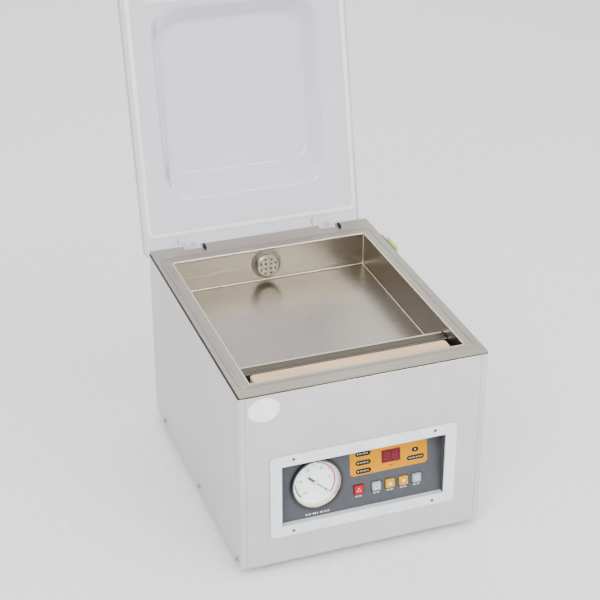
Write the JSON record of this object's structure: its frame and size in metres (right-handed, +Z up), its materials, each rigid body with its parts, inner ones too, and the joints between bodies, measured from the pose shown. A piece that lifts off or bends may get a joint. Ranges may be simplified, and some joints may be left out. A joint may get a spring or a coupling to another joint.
{
  "type": "tabletop chamber vacuum packing machine",
  "caption": "Stainless tabletop chamber vacuum packing machine with a clear domed hinged lid, a lifting seal bar, a dial gauge and a tilted control panel.",
  "frame": {"origin": "on the table (the plane the four rubber feet rest on), under the middle of the whole machine's box with its lid open, which is 4 mm right of and 68 mm behind the middle of the housing", "axes": "+X to the machine's right seen from the front, +Y to its back, +Z up"},
  "size_m": [0.3384, 0.5518, 0.6489],
  "materials": {
    "brushed_steel": "vertical brushed stainless steel",
    "chamber_steel": "stainless steel, fine brushed, warmer in the tub",
    "zinc_steel": "zinc-plated or machined steel",
    "cast_aluminium": "cast or extruded aluminium",
    "clear_acrylic": "clear moulded acrylic, faint violet-grey",
    "white_silicone": "translucent white silicone rubber",
    "tan_tape": "tan non-stick glass-cloth tape",
    "heater_alloy": "resistance alloy strip",
    "grey_bezel": "satin light grey frame",
    "dark_panel": "dark grey printed film on plastic",
    "black_plastic": "black moulded plastic",
    "red_button": "red button cap",
    "grey_button": "grey button cap",
    "yellow_button": "yellow button cap",
    "red_lens": "dark red display filter",
    "dial_white": "white printed dial",
    "needle_black": "black painted pointer",
    "gauge_glass": "clear instrument glass",
    "green_rocker": "translucent green rocker",
    "foot_rubber": "black rubber",
    "pump_paint": "blue-grey enamel",
    "board_green": "circuit board",
    "clear_hose": "translucent reinforced hose"
  },
  "bodies": {
    "housing": {"base_plate": "zinc_steel", "left_side_panel": "brushed_steel", "right_side_panel": "brushed_steel", "front_panel": "brushed_steel", "rear_panel": "brushed_steel", "rim_plate": "brushed_steel", "chamber_tub": "chamber_steel", "product_tray": "chamber_steel", "vacuum_port_cover": "brushed_steel", "foot_front_left": "foot_rubber", "foot_front_right": "foot_rubber", "foot_rear_left": "foot_rubber", "foot_rear_right": "foot_rubber", "lift_cylinder_left": "cast_aluminium", "lift_cylinder_right": "cast_aluminium", "hinge_bracket_left": "zinc_steel", "hinge_bracket_right": "zinc_steel", "hinge_pin_left": "zinc_steel", "hinge_pin_right": "zinc_steel", "control_bezel": "grey_bezel", "control_panel": "dark_panel", "display_lens": "red_lens", "gauge_case": "black_plastic", "gauge_dial": "dial_white", "gauge_glass": "gauge_glass", "control_board": "board_green", "switch_frame": "black_plastic", "power_inlet": "black_plastic", "fuse_holder": "black_plastic", "pump_body": "pump_paint", "oil_sight_glass": "gauge_glass", "pump_motor": "cast_aluminium", "fan_cowl": "zinc_steel", "vacuum_hose": "clear_hose", "seal_transformer": "zinc_steel", "valve_block": "cast_aluminium"},
    "lid": {"lid": "clear_acrylic", "lid_gasket": "white_silicone", "pad_channel": "cast_aluminium", "counter_pad": "white_silicone", "hinge_arm_left": "cast_aluminium", "hinge_arm_right": "cast_aluminium", "hinge_bolt_1": "zinc_steel", "hinge_bolt_2": "zinc_steel", "hinge_bolt_3": "zinc_steel", "hinge_bolt_4": "zinc_steel"},
    "seal_bar": {"seal_bar": "cast_aluminium", "heating_strip": "heater_alloy", "seal_tape": "tan_tape", "lift_pin_left": "zinc_steel", "lift_pin_right": "zinc_steel"},
    "gauge_needle": {"gauge_needle": "needle_black"},
    "power_rocker": {"power_rocker": "green_rocker"},
    "motor_fan": {"motor_fan": "black_plastic"},
    "button_stop": {"button_stop": "red_button"},
    "button_set": {"button_set": "grey_button"},
    "button_increase": {"button_increase": "yellow_button"},
    "button_decrease": {"button_decrease": "yellow_button"},
    "button_enter": {"button_enter": "grey_button"}
  },
  "joints": [
    {"name": "lid_hinge", "type": "hinge", "parent": "housing", "child": "lid", "pos_m": [-0.00424, 0.13856, 0.251], "axis": [1, 0, 0], "range_deg": [0, 102.2]},
    {"name": "seal_bar_lift", "type": "slide", "parent": "housing", "child": "seal_bar", "axis": [0, 0, 1], "range_m": [0, 0.008]},
    {"name": "gauge_needle_turn", "type": "hinge", "parent": "housing", "child": "gauge_needle", "pos_m": [-0.06444, -0.25772, 0.11184], "axis": [0, -0.9903, 0.1392], "range_deg": [0, 264], "stiffness_Nm_per_rad": 0.0008, "springref_deg": -11.46},
    {"name": "power_rocker_tilt", "type": "hinge", "parent": "housing", "child": "power_rocker", "pos_m": [0.16106, 0.05756, 0.249], "axis": [0, 0, 1], "range_deg": [0, 14]},
    {"name": "motor_fan_spin", "type": "hinge", "parent": "housing", "child": "motor_fan", "pos_m": [-0.04424, 0.05186, 0.0968], "axis": [0, 1, 0], "continuous": true},
    {"name": "press_stop", "type": "slide", "parent": "housing", "child": "button_stop", "axis": [0, 0.9903, -0.1392], "range_m": [0, 0.001], "stiffness_N_per_m": 600},
    {"name": "press_set", "type": "slide", "parent": "housing", "child": "button_set", "axis": [0, 0.9903, -0.1392], "range_m": [0, 0.001], "stiffness_N_per_m": 600},
    {"name": "press_increase", "type": "slide", "parent": "housing", "child": "button_increase", "axis": [0, 0.9903, -0.1392], "range_m": [0, 0.001], "stiffness_N_per_m": 600},
    {"name": "press_decrease", "type": "slide", "parent": "housing", "child": "button_decrease", "axis": [0, 0.9903, -0.1392], "range_m": [0, 0.001], "stiffness_N_per_m": 600},
    {"name": "press_enter", "type": "slide", "parent": "housing", "child": "button_enter", "axis": [0, 0.9903, -0.1392], "range_m": [0, 0.001], "stiffness_N_per_m": 600}
  ]
}
